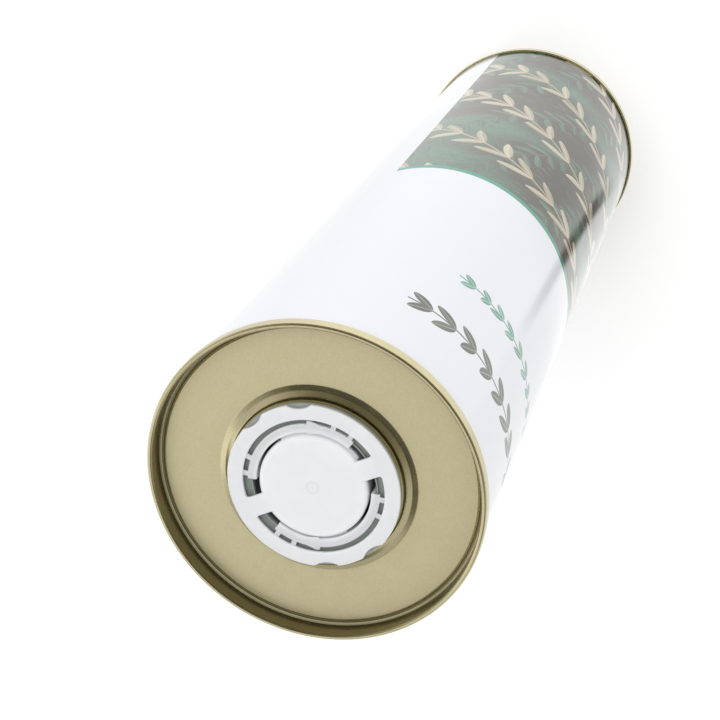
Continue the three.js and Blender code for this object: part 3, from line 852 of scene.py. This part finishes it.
def cap_arcs(turn):
    """The ledge of the cap's middle, and a tamper arc with its leg and rim, on one side of the cap."""
    ledge_top = CAP_TOP - CUP_SINK - LEDGE_DROP
    ledge_root = CAP_MIDDLE_RADIUS - LEDGE_ROOT
    ledge = rounded([
        (ledge_root, ledge_top - LEDGE_HEIGHT, 0.0),
        (LEDGE_RADIUS, ledge_top - LEDGE_HEIGHT, FINE_EDGE),
        (LEDGE_RADIUS, ledge_top - LEDGE_SLOPE_OUT, SMALL_EDGE),
        (ledge_root, ledge_top + LEDGE_SLOPE_IN, 0.0),
    ])
    arc_top = CAP_BOTTOM + ARC_PLATE
    leg = rounded([
        (ARC_INNER, CAP_BOTTOM - ARC_LEG_DEPTH, SMALL_EDGE),
        (ARC_LEG_RADIUS, CAP_BOTTOM - ARC_LEG_DEPTH, SMALL_EDGE),
        (ARC_LEG_RADIUS, arc_top - ARC_LEG_SINK, 0.0),
        (ARC_INNER, arc_top - ARC_LEG_SINK, 0.0),
    ])
    rim_outer = ARC_OUTER - ARC_RIM_INSET
    rim = rounded([
        (ARC_RIM_RADIUS, CAP_BOTTOM - ARC_RIM_DEPTH, FINE_EDGE),
        (rim_outer, CAP_BOTTOM - ARC_RIM_DEPTH, FINE_EDGE),
        (rim_outer, arc_top - ARC_RIM_SINK, 0.0),
        (ARC_RIM_RADIUS, arc_top - ARC_RIM_SINK, 0.0),
    ])
    rim_half = ARC_HALF_ANGLE - ARC_RIM_END
    return [
        make_object("ledge", *lathe_data(ledge, LEDGE_STEPS, turn + LEDGE_FIRST, LEDGE_LAST - LEDGE_FIRST)),
        plate("arc_plate", [tamper_outline(turn)], CAP_BOTTOM, arc_top, ARC_EDGE),
        make_object("leg", *lathe_data(leg, LEG_STEPS, turn - ARC_HALF_ANGLE, 2 * ARC_HALF_ANGLE)),
        make_object("arc_rim", *lathe_data(rim, LEG_STEPS, turn - rim_half, 2 * rim_half)),
    ]


def cap():
    outlines = [cap_outline(), slot_outline(1), slot_outline(-1)]
    shells = [plate("cap_plate", outlines, CAP_BOTTOM, CAP_TOP, CAP_EDGE), cap_cup()]
    shells += cap_arcs(0) + cap_arcs(180)
    piece = join_shells("cap_moulding", shells, CAP_SMOOTH_ANGLE)
    piece.data.transform(Matrix.Rotation(math.radians(CAP_TURN), 4, "Z"))
    return piece


class Value:
    """A number that nodes work out; arithmetic on it adds math nodes."""

    def __init__(self, nodes, socket):
        self.nodes = nodes
        self.socket = socket

    def __add__(self, other):
        return self.nodes.math("ADD", self, other)

    def __sub__(self, other):
        return self.nodes.math("SUBTRACT", self, other)

    def __rsub__(self, other):
        return self.nodes.math("SUBTRACT", other, self)

    def __mul__(self, other):
        return self.nodes.math("MULTIPLY", self, other)

    def __truediv__(self, other):
        return self.nodes.math("DIVIDE", self, other)

    def __abs__(self):
        return self.nodes.math("ABSOLUTE", self)


class Nodes:
    """The node tree of a material or a world, with short calls for the nodes it uses."""

    def __init__(self, owner):
        owner.use_nodes = True
        self.tree = owner.node_tree

    def node(self, kind, inputs=(), output=0, **settings):
        made = self.tree.nodes.new("ShaderNode" + kind)
        for key, value in settings.items():
            setattr(made, key, value)
        for key, value in dict(inputs).items():
            self.feed(made.inputs[key], value)
        return Value(self, made.outputs[output])

    def feed(self, socket, value):
        if isinstance(value, Value):
            self.tree.links.new(value.socket, socket)
        elif socket.type == "RGBA":
            socket.default_value = (*value, 1.0)
        else:
            socket.default_value = value

    def math(self, operation, *values):
        return self.node("Math", enumerate(values), operation=operation)

    def smooth(self, value, low, high):
        """0 below low and 1 above high, or the other way round when low is the higher."""
        ends = {"Value": value, "From Min": min(low, high), "From Max": max(low, high)}
        ends["To Min"], ends["To Max"] = (1.0, 0.0) if low > high else (0.0, 1.0)
        return self.node("MapRange", ends, interpolation_type="SMOOTHSTEP")

    def blend(self, factor, first, second):
        return self.node("Mix", {0: factor, 6: first, 7: second}, 2, data_type="RGBA")

    def point(self, x, y, z=0.0):
        return self.node("CombineXYZ", {0: x, 1: y, 2: z})

    def noise(self, place, scale, detail=2.0, roughness=0.5):
        inputs = {"Vector": place, "Scale": scale, "Detail": detail, "Roughness": roughness}
        return self.node("TexNoise", inputs)

    def random(self, x, y, z=0.0):
        return self.node("TexWhiteNoise", {"Vector": self.point(x, y, z)}, noise_dimensions="3D")

    def sides(self, point):
        made = self.tree.nodes.new("ShaderNodeSeparateXYZ")
        self.feed(made.inputs[0], point)
        return [Value(self, made.outputs[i]) for i in range(3)]

    def ray(self, kind):
        """1 for one kind of ray, 0 for the rest."""
        return self.node("LightPath", output="Is %s Ray" % kind)

    def looking(self):
        """1 for rays of the camera, also those through glass, 0 for the rest."""
        return self.math("MAXIMUM", self.ray("Camera"), self.ray("Transmission"))

    def glow(self, strength):
        return self.node("Emission", {"Strength": strength})


class Shader(Nodes):
    """A material under construction."""

    def __init__(self, name, values=()):
        self.material = bpy.data.materials.new(name)
        super().__init__(self.material)
        self.surface = self.tree.nodes["Principled BSDF"]
        self.place = self.node("TexCoord", output="Object")
        for key, value in dict(values).items():
            self.put(key, value)

    def put(self, key, value):
        self.feed(self.surface.inputs[key], value)

    def bump(self, height, distance, strength=1.0):
        self.put("Normal", self.node("Bump", {"Height": height, "Distance": distance, "Strength": strength}))

    def output(self, shader):
        self.feed(self.tree.nodes["Material Output"].inputs["Surface"], shader)

    def round_axis(self, azimuth=0.0):
        """Distance from the axis, turn from an azimuth in radians, and height."""
        x, y, z = self.sides(self.place)
        c, s = math.cos(math.radians(azimuth)), math.sin(math.radians(azimuth))
        turn = self.math("ARCTAN2", y * c - x * s, x * c + y * s)
        return self.math("SQRT", x * x + y * y) / MM, turn, z / MM


def lacquer_material():
    """Gold lacquer over tinplate: satin where it is flat, burnished in the bends, scuffed and darkened
    with painted shade on the chuck wall, matt in the bend at the wall's foot and darkened with painted
    shade in the countersink."""
    shader = Shader("gold_lacquer", {"IOR": 1.5})
    radius, _, height = shader.round_axis()
    grain = shader.noise(shader.place, 2600.0, 3.0, 0.6)
    cloud = shader.noise(shader.place, 160.0, 3.0, 0.55)
    colour = shader.blend(shader.smooth(grain * 0.5 + cloud * 0.5, 0.3, 0.7), *LACQUER_TONES)
    rise = abs(height - TIN_HEIGHT / 2) - TIN_HEIGHT / 2 + PANEL_DEPTH
    inset = CHUCK_MID - radius
    # Scuffs and specks on the chuck wall, and painted shade that darkens the whole wall.
    wall = shader.smooth(inset, 0.4, 0.2) * shader.smooth(inset, -0.2, 0.0)
    wall = wall * shader.smooth(rise, *SCUFF_AND_SHADE_RISE)
    specks = shader.node("TexVoronoi", {"Vector": shader.place, "Scale": 900.0}, "Distance")
    scuffs = shader.noise(shader.place, 700.0, 4.0, 0.7)
    scuffed_and_shaded = shader.blend(shader.smooth(scuffs, 0.62, 0.72), *SCUFF_AND_SHADE_TONES)
    scuffed_and_shaded = shader.blend(shader.smooth(specks, 0.16, 0.08), scuffed_and_shaded, SPECK_TONE)
    colour = shader.blend(wall * SCUFF_AND_SHADE_SHARE, colour, scuffed_and_shaded)
    # Painted shade: the countersink's floor is darkened.
    countersink_shade = shader.smooth(rise, *COUNTERSINK_SHADE_RISE) * shader.smooth(inset, *COUNTERSINK_SHADE_INSET)
    colour = shader.blend(countersink_shade * COUNTERSINK_SHADE_SHARE, colour, COUNTERSINK_SHADE_TONE)
    shader.put("Base Color", colour)
    up = abs(shader.sides(shader.node("TexCoord", output="Normal"))[2])
    neck = [NECK_RADIUS + limit for limit in BURNISHED_NECK]
    bent = shader.smooth(up, *BURNISHED_TILT)
    burnished = shader.math("MAXIMUM", bent, shader.smooth(radius, *neck))
    metal = burnished * BURNISHED_METAL + LACQUER_METAL
    matt = shader.smooth(rise, *MATT_RISE) * shader.smooth(inset, *MATT_INSET)
    shader.put("Metallic", metal * (1.0 - matt * MATT_SHARE))
    rough = shader.smooth(cloud, 0.2, 0.8) * LACQUER_SPREAD + LACQUER_ROUGHNESS
    shader.put("Roughness", rough - burnished * BURNISHED_SHINE)
    shader.bump((grain * 0.6 + cloud * 0.4) * (burnished * -0.6 + 1.0), 0.00002, 0.35)
    return shader.material


def plastic_material(name, tones, roughness, scatter, shaded=None):
    """Moulded polyethylene: cloudy, slightly translucent, with the fine texture of the mould.
    Near the axis, painted shade darkens the hollows of the gate's mark; when a shaded tone is given, painted
    shade darkens it under the cap's slots instead."""
    shader = Shader(name, {"IOR": 1.51, "Subsurface Radius": SCATTER_TINT})
    shader.put("Subsurface Weight", scatter[0])
    shader.put("Subsurface Scale", scatter[1])
    cloud = shader.noise(shader.place, 220.0, 3.0, 0.5)
    grain = shader.noise(shader.place, 5200.0, 2.0, 0.5)
    radius, _, _ = shader.round_axis()
    colour = shader.blend(shader.smooth(cloud, 0.3, 0.7), *tones)
    # Painted shade under the cap's slots.
    if shaded:
        outer, inner = [SLOT_RADIUS + limit for limit in PAINTED_SHADE_REACH]
        colour = shader.blend(shader.smooth(radius, outer, inner), colour, shaded)
    else:
        # Painted shade in the hollows of the gate's mark: a ring and a spot on the axis.
        ring = shader.smooth(abs(radius - GATE_RING), 0.6, 0.1)
        spot = shader.smooth(radius, 0.5, 0.2)
        gate = shader.math("MAXIMUM", ring, spot * 0.6)
        colour = shader.blend(gate * GATE_SHADE_SHARE, colour, GATE_SHADE_TONE)
    shader.put("Base Color", colour)
    shader.put("Roughness", cloud * 0.12 + (roughness - 0.06))
    shader.bump(grain, 0.000012, 0.4)
    return shader.material


def seal_material(name, tones):
    """Rubber or foam: dull, with a fine cloudy grain."""
    shader = Shader(name, {"IOR": 1.5})
    cloud = shader.noise(shader.place, 900.0, 4.0, 0.6)
    shader.put("Base Color", shader.blend(cloud, *tones))
    shader.put("Roughness", cloud * 0.2 + 0.6)
    shader.bump(cloud, 0.00003, 0.5)
    return shader.material


def twig(shader, colour, run, across, spacing, pitch, leaf, tones, seed, stem):
    """Paints rows of leafy twigs along run onto colour, and gives the number of each pair of
    leaves too."""
    row = shader.math("FLOOR", across / spacing)
    side_way = across - (row + 0.5) * spacing
    along_row = run + shader.random(row, seed) * pitch
    cell = shader.math("FLOOR", along_row / pitch)
    u = along_row - cell * pitch
    side = shader.math("SIGN", side_way)
    w = abs(side_way)
    chance = shader.random(cell, row * 3.7 + side, seed)
    other = shader.random(cell + 11.3, row * 2.9 - side, seed)
    angle = chance * LEAF_ANGLES[1] + LEAF_ANGLES[0]
    c, s = shader.math("COSINE", angle), shader.math("SINE", angle)
    px, py = u - 0.06 * pitch, w - 0.1
    along = px * c + py * s
    bow = (other - 0.5) * 0.05
    off = py * c - px * s + along * along * bow
    t = along / ((other * LEAF_LENGTHS[1] + LEAF_LENGTHS[0]) * leaf[0])
    bulge = shader.math("MAXIMUM", t * (1.0 - t) * 4.0, 0.0001)
    edge = abs(off) - shader.math("POWER", bulge, 0.75) * leaf[1]
    inside = shader.smooth(edge, LEAF_BLUR, -LEAF_BLUR)
    inside = inside * shader.smooth(t, 0.0, 0.03) * shader.smooth(t, 1.0, 0.97)
    tone = shader.blend(chance, tones[0], tones[1])
    tone = shader.blend(shader.smooth(off, -0.05, 0.05) * 0.35, tone, tones[2])
    rib = shader.smooth(abs(off), *RIB_EDGES)
    tone = shader.blend(rib * 0.6, tone, tones[3])
    colour = shader.blend(shader.smooth(w, stem[0], stem[0] * 0.6), colour, stem[1])
    return shader.blend(inside, colour, tone), cell


def within(shader, value, half, blur):
    """1 where the value lies within half of 0, with soft limits."""
    return shader.smooth(abs(value), half + blur, half - blur)


def print_ground(shader, run, height, place):
    """The dark ground of the printed panel, with green glows and fine pits."""
    murk = shader.noise(place, 0.035, 3.0, 0.55)
    fine = shader.noise(place, 0.6, 4.0, 0.7)
    ground = shader.blend(murk, *MURK_TONES)
    far = shader.point(run * 0.8 + 30.0, height * 1.3)
    glow = shader.smooth(shader.noise(far, 0.018, 2.0, 0.5), 0.47, 0.6)
    ground = shader.blend(glow * 0.8, ground, GLOW_TONE)
    grass = shader.noise(shader.point(run * 0.35, height), 0.5, 4.0, 0.65)
    ground = shader.blend(shader.smooth(grass, 0.52, 0.7) * 0.4, ground, GRASS_TONE)
    return shader.blend(shader.smooth(fine, 0.48, 0.3) * 0.5, ground, PIT_TONE)


def print_twigs(shader, picture, run, height):
    """Green twigs that climb steeply, and cream ones in front that slope down."""
    for (c, s), (wave, depth), spacing, pitch, leaf, tones, stem, seed in TWIG_LAYERS:
        along, across = run * c + height * s, height * c - run * s
        across = across + shader.math("SINE", along / wave) * depth
        picture, _ = twig(shader, picture, along, across, spacing, pitch, leaf, tones, seed, stem)
    return picture


def print_material():
    """White gloss print on tinplate: a dark panel of leafy twigs under a green line, two garlands
    on the white, and the bare strip beside the weld."""
    shader = Shader("printed_sheet", {"IOR": 1.5})
    _, turn, height = shader.round_axis(PRINT_AZIMUTH)
    run = turn * BODY_RADIUS
    place = shader.point(run, height)

    white = shader.blend(shader.noise(place, 0.12, 2.0), *WHITE_INKS)
    picture = print_twigs(shader, print_ground(shader, run, height, place), run, height)
    in_panel = within(shader, run, PANEL_HALF, PRINT_BLUR)
    below = shader.smooth(height, PANEL_TOP + PRINT_BLUR, PANEL_TOP - PRINT_BLUR)
    line_foot = PANEL_TOP - LINE_WIDTH
    below_line = shader.smooth(height, line_foot + PRINT_BLUR, line_foot - PRINT_BLUR)
    colour = shader.blend(in_panel * below, white, LINE_TONE)
    colour = shader.blend(in_panel * below_line, colour, picture)

    half = GARLAND_SPACING / 2
    for middle, pairs, pitch, leaf, inks in GARLANDS:
        stem = (GARLAND_STEM, inks[0])
        garland, pair = twig(shader, colour, run, height - middle + half, GARLAND_SPACING, pitch, leaf,
                             inks, middle, stem)
        there = within(shader, pair + 0.5, pairs / 2, 0.1) * within(shader, height - middle, half - 0.1, 0.1)
        colour = shader.blend(there, colour, garland)

    weld = math.radians((WELD_AZIMUTH - PRINT_AZIMUTH + 180) % 360 - 180) * BODY_RADIUS
    bare = within(shader, run - weld, BARE_HALF, 0.05)
    lap = within(shader, run - weld, WELD_WIDTH / 2, 0.1)
    metal = shader.blend(lap * shader.noise(place, 3.0, 3.0), *BARE_TONES)
    shader.put("Base Color", shader.blend(bare, colour, metal))
    shader.put("Metallic", bare)
    ripple = shader.noise(shader.point(run, height * 0.25), 0.5, 2.0, 0.5)
    shader.put("Roughness", ripple * 0.05 + bare * BARE_ROUGHNESS + PRINT_ROUGHNESS)
    shader.bump(ripple, 0.00001, 0.25)
    return shader.material


def assign(piece, material):
    piece.data.materials.clear()
    piece.data.materials.append(material)


def place_piece(piece, body, node, material):
    """Finishes a piece that stands for a node of the frame and moves with its body."""
    assign(piece, material)
    even = piece.modifiers.new("even normals", "WEIGHTED_NORMAL")
    even.mode = "FACE_AREA"
    even.weight = 100
    even.keep_sharp = True
    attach(piece, body)
    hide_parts(node)


def floor_material():
    """White to the camera; reflections see it lit unevenly round the tin, with one dark gap."""
    shader = Shader("pale_floor", {"Roughness": FLOOR_ROUGHNESS, "Specular IOR Level": FLOOR_GLOSS})
    shader.put("Base Color", FLOOR_TONE)
    seen = shader.glow(shader.looking() * FLOOR_GLOW)
    lit = shader.node("AddShader", {0: Value(shader, shader.surface.outputs[0]), 1: seen})

    far, turn, _ = shader.round_axis(GAP_AZIMUTH)
    turned = turn * math.degrees(1.0)
    away = shader.smooth(far, *FLOOR_FAR_REACH)
    dim = away * (FLOOR_FAR_DIM - FLOOR_DIM) + FLOOR_DIM
    bright = shader.smooth(turned, *BRIGHT_TURN) * (FLOOR_BRIGHT - dim) + dim
    bright = bright - shader.smooth(turned, *SIDE_TURN) * (FLOOR_BRIGHT - FLOOR_SIDE)
    past = away * (FLOOR_FAR_PAST - FLOOR_PAST) + FLOOR_PAST
    past = shader.smooth(turned, *PAST_TURN) * (FLOOR_SIDE - past) + past
    bright = (past - bright) * shader.smooth(turned, *PAST_EDGE) + bright
    gap_level = shader.smooth(far, *GAP_REACH) * (GAP_FAR_LEVEL - GAP_LEVEL) + GAP_LEVEL
    open_floor = shader.smooth(abs(turned), *GAP_EDGE)
    dark = open_floor * (1.0 - gap_level) + gap_level
    near = shader.smooth(far, *FLOOR_NEAR_REACH)
    level = (bright * dark - FLOOR_NEAR) * near + FLOOR_NEAR
    mixed = {0: shader.ray("Glossy"), 1: lit, 2: shader.glow(level)}
    shader.output(shader.node("MixShader", mixed))
    shader.material.cycles.emission_sampling = "NONE"
    return shader.material


def floor():
    h = FLOOR_SIZE / 2
    mesh = bpy.data.meshes.new("floor")
    mesh.from_pydata([(-h, -h, 0.0), (h, -h, 0.0), (h, h, 0.0), (-h, h, 0.0)], [], [(0, 1, 2, 3)])
    sheet = add_object("floor", mesh)
    sheet.data.materials.append(floor_material())


def world():
    """Even light for matt surfaces and white for the camera; reflections see the dome instead."""
    scene.world = bpy.data.worlds.new("studio")
    sky = Nodes(scene.world)
    light = sky.tree.nodes["Background"]
    sky.feed(light.inputs["Strength"], sky.looking() * (1.0 - WORLD_LIGHT) + WORLD_LIGHT)
    sky.feed(light.inputs["Color"], WHITE)
    scene.world.cycles_visibility.glossy = False


def dome_material():
    """The room that reflections see: a bright surround and a window under a dark ceiling."""
    shader = Shader("dome")
    direction = shader.node("VectorMath", {0: shader.place}, "Vector", operation="NORMALIZE")
    _, y, z = shader.sides(direction)
    surround = shader.smooth(z, SURROUND_TOP, 0.0) * (HORIZON_LEVEL - SURROUND_LEVEL) + SURROUND_LEVEL
    under = shader.smooth(z, *CEILING_HEIGHTS) * shader.smooth(y, *CEILING_SIDES)
    ceiling = shader.smooth(z, *FRONT_HEIGHTS) * (CEILING_LEVEL - FRONT_LEVEL) + FRONT_LEVEL
    level = (surround - ceiling) * under + ceiling
    a, e = math.radians(WINDOW_AZIMUTH), math.radians(WINDOW_HEIGHT)
    side = (math.cos(e) * math.cos(a), math.cos(e) * math.sin(a), math.sin(e))
    across = shader.node("VectorMath", {0: direction, 1: side}, "Value", operation="DOT_PRODUCT")
    window = shader.smooth(across, *WINDOW_INNER) * shader.smooth(across, *WINDOW_OUTER)
    level = shader.math("MAXIMUM", level, window * shader.smooth(y, *WINDOW_SIDE) * WINDOW_LEVEL)
    for side, outer, inner, share in DIM_SPOTS:
        toward = shader.node("VectorMath", {0: direction, 1: side}, "Value", operation="DOT_PRODUCT")
        level = level * (1.0 - shader.smooth(toward, outer, inner) * (1.0 - share))
    tint = shader.blend(shader.smooth(level, *TINTED_LEVELS), CEILING_TINT, WHITE)
    shader.output(shader.node("Emission", {"Color": tint, "Strength": level}))
    shader.material.cycles.emission_sampling = "NONE"
    return shader.material


def dome():
    """A dome over the floor that only reflections see."""
    around, up = DOME_FACES
    work = bmesh.new()
    bmesh.ops.create_uvsphere(work, u_segments=around, v_segments=up, radius=DOME_RADIUS)
    mesh = bpy.data.meshes.new("dome")
    work.to_mesh(mesh)
    work.free()
    sheet = add_object("dome", mesh)
    for kind in ("camera", "diffuse", "transmission", "shadow"):
        setattr(sheet, "visible_" + kind, False)
    mesh.materials.append(dome_material())


def lamp():
    """One weak soft lamp, which reflections don't see."""
    light = bpy.data.lights.new("key", "AREA")
    light.shape = "DISK"
    light.size = LAMP_SIZE
    light.energy = LAMP_POWER
    key = add_object("key", light)
    key.location = LAMP_PLACE
    key.rotation_mode = "QUATERNION"
    key.rotation_quaternion = (Vector(LAMP_TARGET) - Vector(LAMP_PLACE)).to_track_quat("-Z", "Y")
    key.visible_glossy = False


def photo_camera():
    data = bpy.data.cameras.new("camera")
    data.lens = CAMERA_LENS
    data.sensor_width = CAMERA_SENSOR
    data.clip_start = CAMERA_CLIP
    camera = add_object("camera", data)
    camera.matrix_world = Matrix.Translation(CAMERA_PLACE) @ Matrix(CAMERA_AXES).to_4x4()
    scene.camera = camera


lacquer = lacquer_material()
printed = print_material()
white_plastic = plastic_material("white_plastic", WHITE_TONES, WHITE_ROUGHNESS, WHITE_SCATTER)
grey_plastic = plastic_material("grey_plastic", GREY_TONES, GREY_ROUGHNESS, GREY_SCATTER, GREY_PAINTED_SHADE)
seal = seal_material("seal", SEAL_TONES)
foam = seal_material("liner_foam", FOAM_TONES)

place_piece(tin_body(), "tin", "tin_body", printed)
place_piece(top_end(), "tin", "top_end", lacquer)
place_piece(bottom_end(), "tin", "bottom_end", lacquer)
place_piece(collar(), "tin", "spout_collar", grey_plastic)
place_piece(spout(), "pourer", "spout", white_plastic)
place_piece(cap(), "screw_cap", "cap", white_plastic)
for node in ("top_seam_compound", "bottom_seam_compound", "neck_gasket", "spout_wiper"):
    assign(frame["nodes"][node], seal)
assign(frame["nodes"]["cap_liner"], foam)

world()
floor()
dome()
lamp()
photo_camera()
scene.view_settings.view_transform = "Standard"
